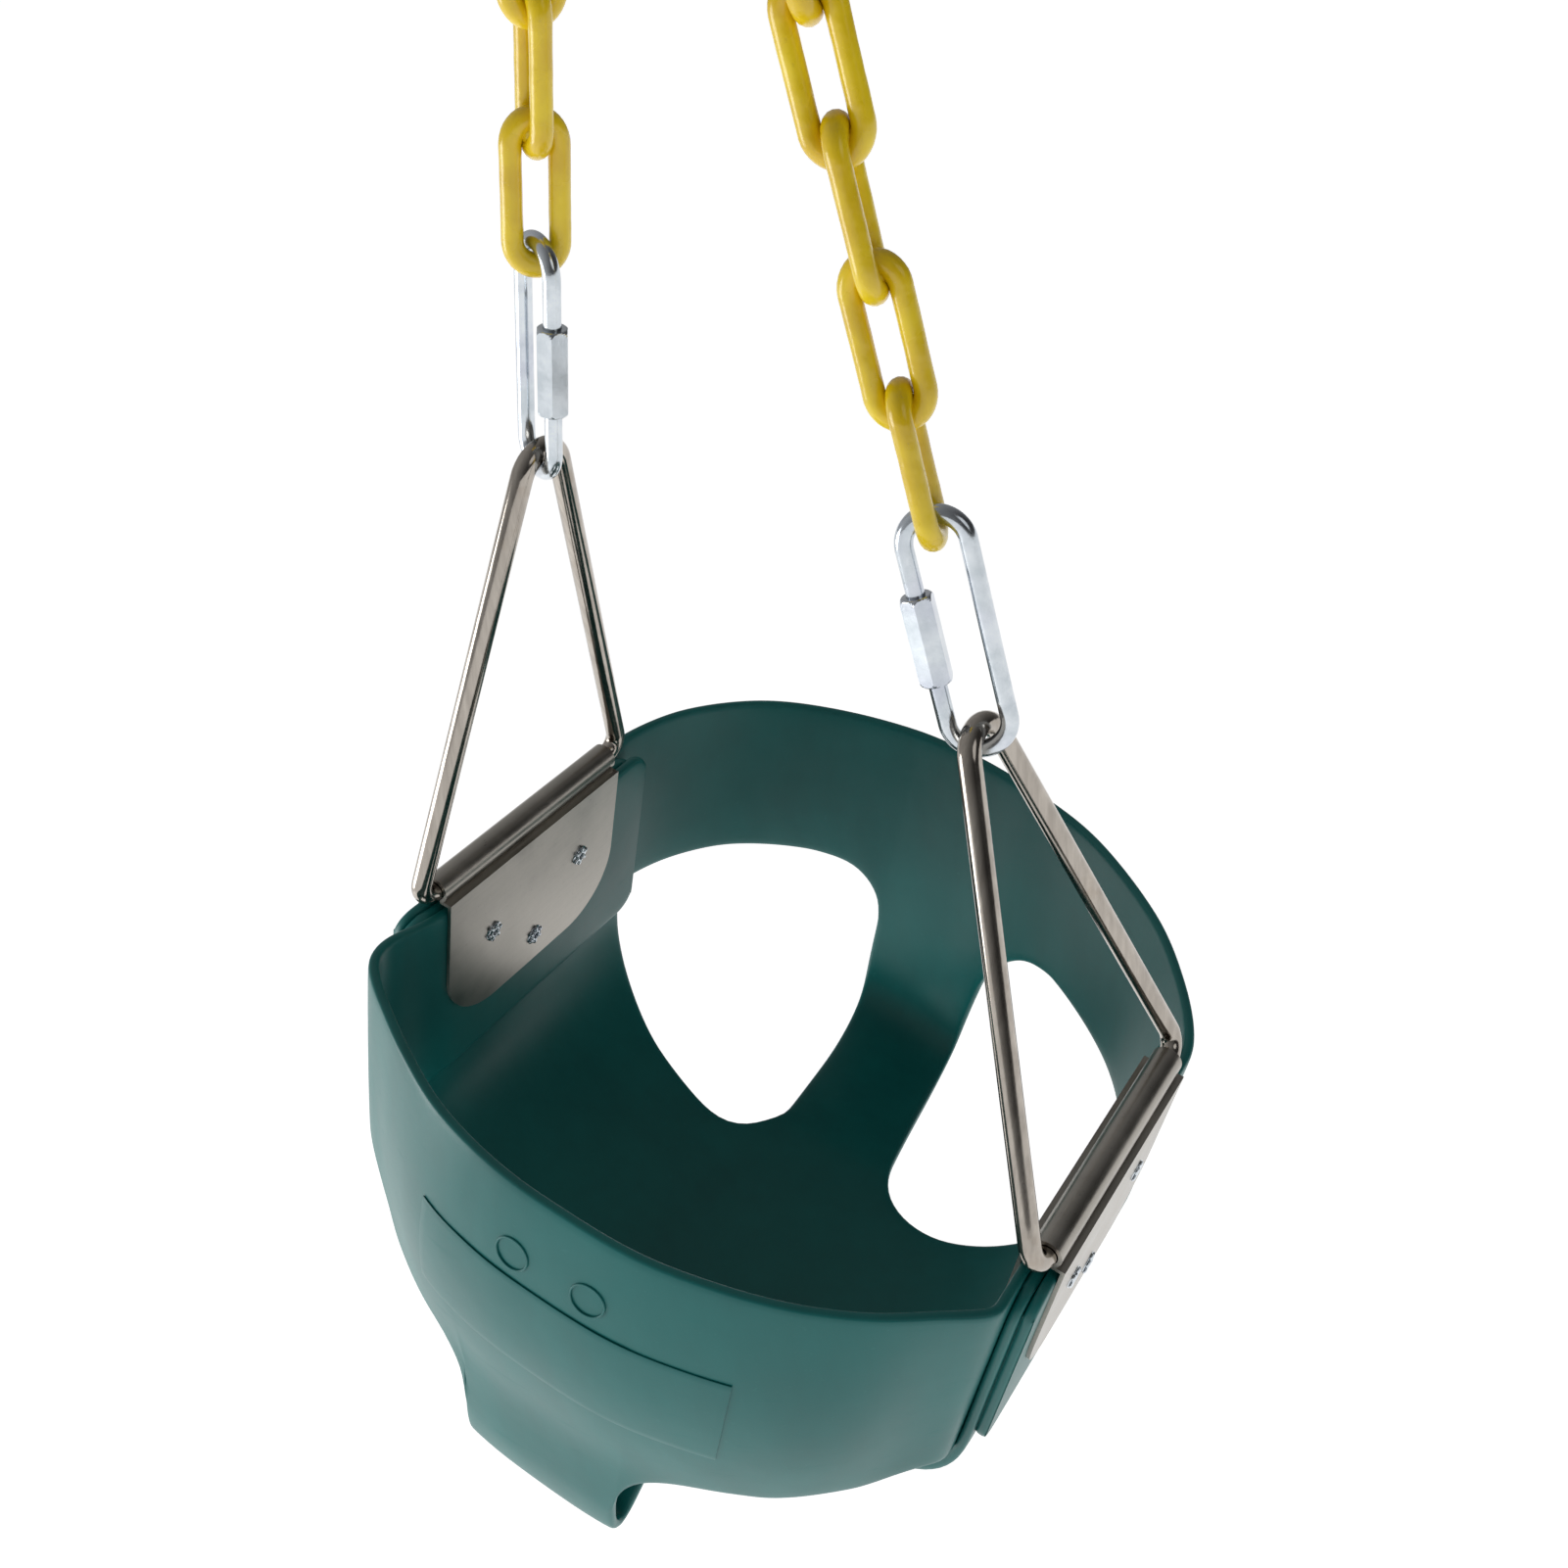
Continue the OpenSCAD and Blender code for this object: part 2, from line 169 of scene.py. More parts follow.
def writeSheet(graph, place):
    cloud = graph.noise(place, 9, 4, 0.55)
    flow = graph.noise(graph.node("Mapping", {}, {"Vector": place, "Scale": (30, 30, 7)}), 1.2, 5, 0.6)
    speck = graph.noise(place, 420, 2, 0.5)
    shade = graph.ranged(cloud * 0.6 + flow * 0.4, 0.35, 0.65, 0.0, 1.0)
    base = graph.blend(shade, sheetLook["deep"], sheetLook["fresh"])
    dust = graph.ranged(speck, 0.66, 0.8, 0.0, 0.10)
    base = graph.blend(dust, base, linear(70, 150, 142))
    scuff = graph.noise(graph.node("Mapping", {}, {"Vector": place, "Scale": (22, 90, 260)}), 1.0, 6, 0.65)
    scuffs = graph.ranged(scuff, 0.60, 0.72, 0.0, 1.0)
    rough = graph.ranged(cloud, 0.3, 0.7, sheetLook["rough"] - 0.04, sheetLook["rough"] + 0.05)
    rough = rough + scuffs * 0.05
    grain = graph.noise(place, sheetLook["grain"], 2, 0.6)
    wave = graph.noise(place, 34, 2, 0.4)
    fine = graph.node("Bump", {}, {"Strength": 0.30, "Distance": 0.00006, "Height": grain})
    soft = graph.node("Bump", {}, {"Strength": 0.55, "Distance": 0.0007, "Height": wave, "Normal": fine})
    return {"Base Color": base, "Roughness": rough, "Normal": soft}


plateLook = {"dark": linear(150, 146, 139), "pale": linear(182, 177, 169), "rough": 0.24}


def writePlate(graph, place):
    drawn = graph.noise(graph.node("Mapping", {}, {"Vector": place, "Scale": (900, 26, 900)}), 1.0, 4, 0.6)
    cloud = graph.noise(place, 55, 5, 0.6)
    smear = graph.ranged(cloud, 0.35, 0.68, 0.0, 1.0)
    base = graph.blend(drawn * 0.5 + smear * 0.5, plateLook["dark"], plateLook["pale"])
    pit = graph.ranged(graph.noise(place, 900, 3, 0.6), 0.64, 0.78, 0.0, 0.5)
    base = graph.blend(pit, base, linear(112, 106, 99))
    rough = plateLook["rough"] + smear * 0.10 + drawn * 0.08
    bump = graph.node("Bump", {}, {"Strength": 0.35, "Distance": 0.00005, "Height": drawn})
    return {"Base Color": base, "Roughness": rough, "Normal": bump}


wireLook = {"dark": linear(158, 151, 143), "pale": linear(184, 177, 168), "rough": 0.11}


def writeWire(graph, place):
    streak = graph.noise(graph.node("Mapping", {}, {"Vector": place, "Scale": (420, 160, 30)}), 1.0, 5, 0.6)
    cloud = graph.noise(place, 70, 4, 0.6)
    base = graph.blend(graph.ranged(streak, 0.35, 0.7, 0.0, 1.0), wireLook["dark"], wireLook["pale"])
    stain = graph.ranged(cloud, 0.58, 0.72, 0.0, 0.35)
    base = graph.blend(stain, base, linear(150, 136, 120))
    rough = wireLook["rough"] + streak * 0.06 + stain * 0.12
    bump = graph.node("Bump", {}, {"Strength": 0.3, "Distance": 0.00008, "Height": streak})
    return {"Base Color": base, "Roughness": rough, "Normal": bump}


zincLook = {"dark": linear(190, 198, 204), "pale": linear(214, 220, 225), "rough": 0.13}


def writeZinc(graph, place):
    cloud = graph.noise(place, 120, 4, 0.6)
    fine = graph.noise(place, 900, 3, 0.6)
    base = graph.blend(graph.ranged(cloud, 0.35, 0.65, 0.0, 1.0), zincLook["dark"], zincLook["pale"])
    tint = graph.ranged(graph.noise(place, 48, 2, 0.5), 0.5, 0.75, 0.0, 0.2)
    base = graph.blend(tint, base, linear(166, 160, 196))
    rough = zincLook["rough"] + cloud * 0.06 + fine * 0.05
    bump = graph.node("Bump", {}, {"Strength": 0.3, "Distance": 0.00006, "Height": fine})
    return {"Base Color": base, "Roughness": rough, "Normal": bump}


coatLook = {"deep": linear(222, 186, 6), "fresh": linear(240, 210, 18), "rough": 0.22}


def writeCoat(graph, place):
    cloud = graph.noise(place, 60, 3, 0.5)
    fine = graph.noise(place, 700, 3, 0.5)
    base = graph.blend(graph.ranged(cloud, 0.35, 0.65, 0.0, 1.0), coatLook["deep"], coatLook["fresh"])
    grime = graph.ranged(graph.noise(place, 260, 4, 0.6), 0.66, 0.76, 0.0, 0.4)
    base = graph.blend(grime, base, linear(170, 136, 10))
    rough = coatLook["rough"] + cloud * 0.10 + grime * 0.3
    dents = graph.noise(place, 150, 2, 0.5)
    low = graph.node("Bump", {}, {"Strength": 0.6, "Distance": 0.0006, "Height": dents})
    bump = graph.node("Bump", {}, {"Strength": 0.25, "Distance": 0.00008, "Height": fine,
                                   "Normal": low})
    return {"Base Color": base, "Roughness": rough, "Normal": bump}


sheetFinish = material("mouldedSheet", writeSheet, IOR=1.42, Coat_Weight=0.04, Coat_Roughness=0.3)
plateFinish = material("plateSteel", writePlate, Metallic=1.0)
wireFinish = material("hangerSteel", writeWire, Metallic=1.0)
zincFinish = material("zincSteel", writeZinc, Metallic=1.0)
rivetFinish = material("rivetSteel", writeZinc, Metallic=1.0)
coatFinish = material("chainCoating", writeCoat, IOR=1.5, Coat_Weight=0.35, Coat_Roughness=0.12)


# ---- curves and meshes

class Path:  # smooth curve through points, read by its length
    def __init__(self, points, steps=10):
        points = [Vector(p) for p in points]
        self.dots = []
        last = len(points) - 1
        for i in range(last):
            a, b = points[max(i - 1, 0)], points[i]
            c, d = points[i + 1], points[min(i + 2, last)]
            for j in range(steps):
                t = j / steps
                self.dots.append(0.5 * ((2 * b) + (c - a) * t + (2 * a - 5 * b + 4 * c - d) * t * t
                                        + (3 * b - a - 3 * c + d) * t ** 3))
        self.dots.append(points[-1])
        self.marks = [0.0]
        for a, b in zip(self.dots, self.dots[1:]):
            self.marks.append(self.marks[-1] + (b - a).length)
        self.length = self.marks[-1]

    def at(self, s):
        s = min(max(s, 0.0), self.length)
        low, high = 0, len(self.marks) - 1
        while high - low > 1:
            i = (low + high) // 2
            if self.marks[i] <= s:
                low = i
            else:
                high = i
        span = self.marks[high] - self.marks[low] or 1.0
        return self.dots[low].lerp(self.dots[high], (s - self.marks[low]) / span)

    def normal(self, s):
        way = self.at(s + 1.5) - self.at(s - 1.5)
        return Vector((-way[1], way[0])).normalized()

    def find(self, axis, value, low, high):
        for _ in range(40):
            middle = (low + high) / 2
            if (self.at(middle)[axis] - value) * (self.at(high)[axis] - value) > 0:
                high = middle
            else:
                low = middle
        return (low + high) / 2


def stepOf(x, low, high):
    t = min(max((x - low) / (high - low), 0.0), 1.0)
    return t * t * (3 - 2 * t)


def spread(low, high, count):
    return [low + (high - low) * i / count for i in range(count + 1)]


def cornerCut(gone, radius):
    gone = min(max(gone, 0.0), radius)
    return radius - math.sqrt(max(radius * radius - (radius - gone) ** 2, 0.0))


class Weld:  # faces that share the vertices they have in common
    def __init__(self):
        self.mesh, self.seen = bmesh.new(), {}

    def vert(self, point):
        key = tuple(round(v, 2) for v in point)
        if key not in self.seen:
            self.seen[key] = self.mesh.verts.new(point)
        return self.seen[key]

    def grid(self, rows, flip=False):
        for upper, lower in zip(rows, rows[1:]):
            for j in range(len(upper) - 1):
                ring = [upper[j], upper[j + 1], lower[j + 1], lower[j]]
                ring = [self.vert(p) for p in (reversed(ring) if flip else ring)]
                if len(set(ring)) == 4:
                    self.mesh.faces.new(ring)

    def object(self, name, place, finish):
        bmesh.ops.recalc_face_normals(self.mesh, faces=self.mesh.faces)
        self.mesh.transform(Matrix.Scale(mm, 4) @ place)
        data = bpy.data.meshes.new(name)
        self.mesh.to_mesh(data)
        self.mesh.free()
        made = bpy.data.objects.new(name, data)
        bpy.context.scene.collection.objects.link(made)
        data.materials.append(finish)
        data.shade_smooth()
        return made


def addModifier(piece, kind, **settings):
    made = piece.modifiers.new(kind.title(), kind)
    for name, value in settings.items():
        setattr(made, name, value)
    return made


# ---- the bucket: one moulded sheet, three layers thick at each hinge plate

seat = {"front": 178, "back": 136, "sheet": 4.4, "rim": -9, "band": 94, "floor": -167,
        "crotchCentre": -6.5, "backCentre": -8.5, "crotch": 62, "backStrap": 73, "backBelly": 9.0,
        "frontBelly": 3.0, "bellyReach": 128, "layerGap": 4.5, "rows": 9, "columnStep": 4,
        "edgeRadius": 1.5, "edgeSteps": [0, 0.35, 1.3, 3.0, 5.4, 8.5]}
rim, bandLow, floor = seat["rim"], seat["rim"] - seat["band"], seat["floor"]
innerX, middleX, outerX = halfSeat - seat["layerGap"], halfSeat, halfSeat + seat["layerGap"]
centreX, rearX = seat["crotchCentre"], seat["backCentre"]
halfCrotch, halfBack = seat["crotch"] / 2, seat["backStrap"] / 2


def flare(y):  # the layers open out behind the left plate
    return 5.2 * (min(max(-52 - y, 0.0), 24) / 20) ** 2


fd, bd = seat["front"], seat["back"]
frontPath = Path([(-outerX - flare(-68), -68), (-outerX - flare(-60), -60), (-outerX, -50),
                  (-outerX, -20), (-outerX, 20), (-outerX, 45), (-138, 64), (-139.5, 83), (-0.945 * outerX, 0.645 * fd),
                  (-0.78 * outerX, 0.81 * fd), (-0.56 * outerX, 0.915 * fd), (-0.31 * outerX, 0.98 * fd),
                  (-0.1 * outerX, 0.995 * fd), (0.1 * outerX, 0.98 * fd), (0.39 * outerX, 0.92 * fd),
                  (0.69 * outerX, 0.765 * fd), (0.875 * outerX, 0.6 * fd), (0.985 * outerX, 0.445 * fd),
                  (outerX, 57), (outerX, 20), (outerX, -30), (outerX, -68)])
backPath = Path([(-innerX, 79), (-innerX, 40), (-innerX, 0), (-innerX, -35), (-innerX, -50),
                 (-innerX - 0.6, -57), (-innerX - 1.9, -64), (-innerX - 3.9, -70.5), (-innerX - 5.6, -76.5),
                 (-innerX - 5.7, -83), (-innerX - 3.0, -89.5), (-innerX + 4.0, -96), (-0.88 * innerX, -0.76 * bd),
                 (-0.73 * innerX, -0.84 * bd), (-0.53 * innerX, -0.925 * bd), (-0.29 * innerX, -0.975 * bd),
                 (-0.08 * innerX, -0.985 * bd), (0.16 * innerX, -0.975 * bd), (0.37 * innerX, -0.93 * bd),
                 (0.56 * innerX, -0.865 * bd), (0.74 * innerX, -0.77 * bd), (0.88 * innerX, -0.665 * bd),
                 (innerX - 1, -78), (innerX, -70), (innerX, -56), (innerX, -20), (innerX, 30), (innerX, 79)])
frontFilletL = Path([(centreX - halfCrotch - 38, bandLow + 4.5), (centreX - halfCrotch - 20, bandLow + 2),
                     (centreX - halfCrotch - 8, bandLow - 7), (centreX - halfCrotch - 1.4, bandLow - 19),
                     (centreX - halfCrotch, bandLow - 32)])
frontFilletR = Path([(centreX + halfCrotch, bandLow - 34), (centreX + halfCrotch + 1.8, bandLow - 21),
                     (centreX + halfCrotch + 8, bandLow - 9), (centreX + halfCrotch + 18, bandLow + 1.5),
                     (centreX + halfCrotch + 32, bandLow + 6)])
backFilletL = Path([(rearX - halfBack - 46, bandLow - 22), (rearX - halfBack - 26, bandLow - 29),
                    (rearX - halfBack - 9, bandLow - 40), (rearX - halfBack - 1.5, bandLow - 54),
                    (rearX - halfBack, bandLow - 68)])
backFilletR = Path([(rearX + halfBack, bandLow - 68), (rearX + halfBack + 1.5, bandLow - 56),
                    (rearX + halfBack + 9, bandLow - 42), (rearX + halfBack + 26, bandLow - 31),
                    (rearX + halfBack + 46, bandLow - 24)])


def lowEdge(knots, x):
    if x <= knots[0][0]:
        return knots[0][1]
    for (xa, za), (xb, zb) in zip(knots, knots[1:]):
        if x <= xb:
            return za + (zb - za) * stepOf(x, xa, xb)
    return knots[-1][1]


def columnsOf(path, leftFillet, rightFillet, edgeKnots, radius, outward, belly):
    near = path.length / 2
    start, stop = leftFillet.at(0), rightFillet.at(rightFillet.length)
    a = path.find(0, start[0], path.length * 0.25, near)
    b = path.find(0, stop[0], near, path.length * 0.75)
    dense = seat["edgeSteps"] + [radius]
    columns = [(s, None) for s in dense]
    count = int((a - radius) / seat["columnStep"])
    columns += [(s, None) for s in spread(radius, a, count)[1:-1]]
    marks = []
    for t in spread(0, leftFillet.length, 9):
        spot = leftFillet.at(t)
        columns.append((path.find(0, spot[0], path.length * 0.25, near + 30), spot[1]))
    marks.append(len(columns) - 1)
    edgeA = columns[-1][0]
    edgeB = path.find(0, rightFillet.at(0)[0], near - 30, path.length * 0.75)
    lowA, lowB = leftFillet.at(leftFillet.length)[1], rightFillet.at(0)[1]
    columns += [(edgeA + (edgeB - edgeA) * t, lowA + (lowB - lowA) * t)
                for t in spread(0, 1, 10)[1:-1]]
    marks.append(len(columns))
    for t in spread(0, rightFillet.length, 9):
        spot = rightFillet.at(t)
        columns.append((path.find(0, spot[0], near - 30, path.length * 0.75), spot[1]))
    count = int((path.length - radius - b) / seat["columnStep"])
    columns += [(s, None) for s in spread(b, path.length - radius, count)[1:-1]]
    columns += [(path.length - s, None) for s in reversed(dense)]
    grid = []
    for i in range(seat["rows"] + 1):
        v = i / seat["rows"]
        line = []
        for s, low in columns:
            spot = path.at(s)
            cut = cornerCut(min(s, path.length - s), radius)
            bottom = lowEdge(edgeKnots(spot), spot[0]) if low is None else low
            z = (rim - cut) + (bottom + (cut if low is None else 0) - rim + cut) * v
            side = path.normal(s) * outward
            swell = belly(spot) * math.sin(math.pi * min((rim - z) / seat["bellyReach"], 1.0))
            line.append(Vector((spot[0] + side[0] * swell, spot[1] + side[1] * swell, z)))
        grid.append(line)
    return grid, marks


def frontKnots(spot):
    return [(-outerX, bandLow + 1), (-0.8 * outerX, bandLow + 3), (centreX - halfCrotch - 38, bandLow + 4.5),
            (centreX + halfCrotch + 32, bandLow + 6), (0.8 * outerX, bandLow + 5), (outerX, bandLow + 2)]


def backKnots(spot):
    if spot[1] > -58:
        return [(-200, bandLow), (200, bandLow)]
    return [(-innerX - 4, bandLow - 1), (-0.8 * innerX, bandLow - 10), (rearX - halfBack - 46, bandLow - 22),
            (rearX + halfBack + 46, bandLow - 24), (0.8 * innerX, bandLow - 12), (innerX, bandLow - 3)]


def backSwell(spot):  # the back wall swells more behind the middle and right
    return seat["backBelly"] * stepOf(-spot[1], 78, 112) * (0.2 + 0.8 * stepOf(spot[0], -118, -50))


frontGrid, frontMarks = columnsOf(frontPath, frontFilletL, frontFilletR, frontKnots, 12, 1,
                                  lambda p: seat["frontBelly"] * stepOf(p[1], 70, 150))
backGrid, backMarks = columnsOf(backPath, backFilletL, backFilletR, backKnots, 10, -1, backSwell)

# the sling hangs from the middle layer of both plates
sectionDots = [(-middleX, rim - 1), (-middleX, -35), (-middleX, -60)]
for u in (-1, -0.985, -0.95, -0.88, -0.76, -0.6, -0.4, -0.2, 0, 0.2, 0.4, 0.6, 0.76, 0.88, 0.95, 0.985, 1):
    sectionDots.append((middleX * u, -100 + (floor + 100) * (1 - abs(u) ** 2.3) ** (1 / 2.3)))
sectionDots += [(middleX, -60), (middleX, -35), (middleX, rim - 1)]
section = Path(sectionDots)


def sectionAt(x):
    return section.find(0, x, section.length * 0.2, section.length * 0.8)


slingFrontL = Path([(-0.64 * middleX, 52.7), (-0.49 * middleX, 47.3), (-0.34 * middleX, 43.5),
                    (-0.235 * middleX, 48), (centreX - halfCrotch + 18, 66)])
slingFrontR = Path([(centreX + halfCrotch + 13, 68), (0.325 * middleX, 56.5), (0.43 * middleX, 47),
                    (0.565 * middleX, 44), (0.69 * middleX, 47.5)])
slingRearL = Path([(-0.72 * middleX, -66), (-0.55 * middleX, -66), (-0.44 * middleX, -68),
                   (rearX - halfBack - 2.5, -72), (rearX - halfBack, -80)])
slingRearR = Path([(rearX + halfBack, -80), (rearX + halfBack + 2.5, -72), (0.32 * middleX, -68),
                   (0.45 * middleX, -66), (0.6 * middleX, -66)])


def sideY(x, frontSide):  # free edge of the sling between its fillets and the plates
    far = abs(x) / middleX
    if frontSide and x < 0:
        return 52.7 + 23 * ((max(far - 0.64, 0)) / 0.36) ** 1.15
    if frontSide:
        return 47.5 + 22 * (max(far - 0.69, 0) / 0.31) ** 1.2
    return -66 - 4 * stepOf(far, 0.7, 0.98)


def slingGrid():
    top = seat["edgeSteps"] + [12]
    fa, ra = sectionAt(slingFrontL.at(0)[0]), sectionAt(slingRearL.at(0)[0])
    fb = sectionAt(slingFrontR.at(slingFrontR.length)[0])
    rb = sectionAt(slingRearR.at(slingRearR.length)[0])
    pairs = [((s, None), (s, None)) for s in top]
    count = 19
    pairs += [((12 + (fa - 12) * t, None), (12 + (ra - 12) * t, None))
              for t in spread(0, 1, count)[1:-1]]
    for t in spread(0, 1, 8):
        f, r = slingFrontL.at(t * slingFrontL.length), slingRearL.at(t * slingRearL.length)
        pairs.append(((sectionAt(f[0]), f[1]), (sectionAt(r[0]), r[1])))
    first = len(pairs) - 1
    f0, f1 = slingFrontL.at(slingFrontL.length), slingFrontR.at(0)
    r0, r1 = slingRearL.at(slingRearL.length), slingRearR.at(0)
    for t in spread(0, 1, 10)[1:-1]:
        pairs.append(((sectionAt(f0[0] + (f1[0] - f0[0]) * t), f0[1]),
                      (sectionAt(r0[0] + (r1[0] - r0[0]) * t), r0[1])))
    last = len(pairs)
    for t in spread(0, 1, 8):
        f, r = slingFrontR.at(t * slingFrontR.length), slingRearR.at(t * slingRearR.length)
        pairs.append(((sectionAt(f[0]), f[1]), (sectionAt(r[0]), r[1])))
    full = section.length
    pairs += [((fb + (full - 12 - fb) * t, None), (rb + (full - 12 - rb) * t, None))
              for t in spread(0, 1, count)[1:-1]]
    pairs += [((full - s, None), (full - s, None)) for s in reversed(top)]
    rows = []
    for v in spread(0, 1, 16):
        line = []
        for (sf, yf), (sr, yr) in pairs:
            s = sr + (sf - sr) * v
            spot = section.at(s)
            cut = cornerCut(min(s, full - s), 12)
            front = sideY(section.at(sf)[0], True) - cut if yf is None else yf
            rear = sideY(section.at(sr)[0], False) + cut if yr is None else yr
            y = rear + (front - rear) * v
            out = flare(y) * stepOf(-spot[0], 120, 132)
            line.append(Vector((spot[0] - out, y, spot[1])))
        rows.append(line)
    return rows, first, last


slingRows, strapFirst, strapLast = slingGrid()

crotchSide = Path([(0.985 * fd, bandLow - 32), (0.965 * fd, floor + 12), (0.915 * fd, floor - 2),
                   (0.82 * fd, floor - 7.5), (0.7 * fd, floor - 8), (0.53 * fd, floor - 4.5),
                   (66, floor - 1)])
backSide = Path([(-0.98 * bd, bandLow - 68), (-0.968 * bd, floor - 17), (-0.945 * bd, floor - 29),
                 (-0.905 * bd, floor - 34.5), (-0.865 * bd, floor - 32), (-0.80 * bd, floor - 21),
                 (-0.7 * bd, floor - 8), (-80, floor - 1)])


def strapGrid(top, bottom, side, leftEdge, rightEdge, count):
    rows = []
    for i in range(count + 1):
        v = i / count
        spot = side.at(v * side.length)
        left, right = leftEdge(v), rightEdge(v)
        line = []
        for j in range(len(top)):
            u = j / (len(top) - 1)
            base = Vector((left + (right - left) * u, spot[0], spot[1]))
            a, b = side.at(0), side.at(side.length)
            begin = Vector((leftEdge(0) + (rightEdge(0) - leftEdge(0)) * u, a[0], a[1]))
            final = Vector((leftEdge(1) + (rightEdge(1) - leftEdge(1)) * u, b[0], b[1]))
            base += (top[j] - begin) * (1 - stepOf(v, 0, 0.8)) + (bottom[j] - final) * stepOf(v, 0.3, 1)
            line.append(base)
        rows.append(line)
    return rows


crotchLeft = Path([(centreX - halfCrotch, 0), (centreX - halfCrotch + 2, 20), (centreX - halfCrotch + 8, 42),
                   (centreX - halfCrotch + 13, 70), (centreX - halfCrotch + 16, 98),
                   (centreX - halfCrotch + 18, 122)])
crotchRight = Path([(centreX + halfCrotch, 0), (centreX + halfCrotch - 1, 20), (centreX + halfCrotch + 1, 42),
                    (centreX + halfCrotch + 5.5, 75), (centreX + halfCrotch + 10, 105),
                    (centreX + halfCrotch + 13, 122)])

bucket = Weld()
bucket.grid(frontGrid)
bucket.grid(backGrid)
bucket.grid(slingRows)
bucket.grid(strapGrid(frontGrid[-1][frontMarks[0]:frontMarks[1] + 1],
                      slingRows[-1][strapFirst:strapLast + 1], crotchSide,
                      lambda v: crotchLeft.at(v * crotchLeft.length)[0],
                      lambda v: crotchRight.at(v * crotchRight.length)[0], 16))
bucket.grid(strapGrid(backGrid[-1][backMarks[0]:backMarks[1] + 1],
                      slingRows[0][strapFirst:strapLast + 1], backSide,
                      lambda v: rearX - halfBack, lambda v: rearX + halfBack, 16))
bucketPiece = bucket.object("bucketSheet", seatPlace, sheetFinish)
addModifier(bucketPiece, "SOLIDIFY", thickness=seat["sheet"] * mm, offset=0.0, use_even_offset=True)
addModifier(bucketPiece, "BEVEL", width=seat["edgeRadius"] * mm, segments=2, limit_method="ANGLE",
            angle_limit=deg(50), use_clamp_overlap=False, harden_normals=False)
addModifier(bucketPiece, "SUBSURF", levels=1, render_levels=1)
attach(bucketPiece, "bucket")
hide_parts("bucket_seat")
print("bucket sheet", len(bucketPiece.data.polygons), "faces")

# the plain panel and two mould marks stand a little proud of the back wall
panel = {"left": -63, "right": 61, "top": -48, "bottom": -96, "thick": 0.5, "proud": 0.12,
         "marks": [(-21, -37), (10, -36)], "markRadius": 6.5, "markWire": 0.4}


def backWall(x, z, lift):
    s = backPath.find(0, x, backPath.length * 0.25, backPath.length * 0.75)
    spot, side = backPath.at(s), -backPath.normal(s)
    out = backSwell(spot) * math.sin(math.pi * min((rim - z) / seat["bellyReach"], 1.0)) + seat["sheet"] / 2 + lift
    return Vector((spot[0] + side[0] * out, spot[1] + side[1] * out, z))


plain = Weld()
plain.grid([[backWall(x, z, panel["proud"]) for x in spread(panel["left"], panel["right"], 40)]
            for z in spread(panel["top"], panel["bottom"], 16)])
panelPiece = plain.object("plainPanel", seatPlace, sheetFinish)
addModifier(panelPiece, "SOLIDIFY", thickness=panel["thick"] * mm, offset=0.0, use_even_offset=True)
addModifier(panelPiece, "BEVEL", width=0.18 * mm, segments=2, limit_method="ANGLE", angle_limit=deg(50))
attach(panelPiece, "bucket")


# ---- repeated and swept pieces, grown by geometry nodes

def startTree(name, inputs):
    tree = bpy.data.node_groups.new(name, "GeometryNodeTree")
    tree.interface.new_socket("Geometry", in_out="INPUT", socket_type="NodeSocketGeometry")
    for label, kind, value in inputs:
        made = tree.interface.new_socket(label, in_out="INPUT", socket_type="NodeSocket" + kind)
        if value is not None:
            made.default_value = value
    tree.interface.new_socket("Geometry", in_out="OUTPUT", socket_type="NodeSocketGeometry")
    graph = Graph(tree)
    return graph, graph.node("NodeGroupInput")


def endTree(graph, shape, finish):
    solid = graph.node("RealizeInstances", {}, {"Geometry": shape})
    smooth = graph.node("SetShadeSmooth", {}, {"Geometry": solid})
    painted = graph.node("SetMaterial", {}, {"Geometry": smooth, "Material": finish})
    graph.node("NodeGroupOutput", {}, {"Geometry": painted})
    return graph.tree


def lumps(graph, shape, depth, size, seed):  # an uneven coat
    noise = graph.node("TexNoise", {"noise_dimensions": "4D"},
                       {"Vector": graph.node("InputPosition"), "W": seed, "Scale": size, "Detail": 2.0})
    push = graph.node("VectorMath", {"operation": "SCALE"},
                      {0: graph.node("InputNormal"), "Scale": (noise - 0.5) * 2 * depth})
    return graph.node("SetPosition", {}, {"Geometry": shape, "Offset": push})


def wireTree():
    graph, given = startTree("bentWire", [("Wire Radius", "Float", 0.004), ("Sides", "Int", 20),
                                          ("Lump Depth", "Float", 0.0), ("Lump Size", "Float", 60.0),
                                          ("Seed", "Float", 4.0), ("Material", "Material", None)])
    line = graph.node("MeshToCurve", {}, {"Mesh": given})
    ring = graph.node("CurvePrimitiveCircle", {}, {"Resolution": given.out("Sides"),
                                                   "Radius": given.out("Wire Radius")})
    tube = graph.node("CurveToMesh", {}, {"Curve": line, "Profile Curve": ring})
    tube = lumps(graph, tube, given.out("Lump Depth"), given.out("Lump Size"), given.out("Seed"))
    return endTree(graph, tube, given.out("Material"))


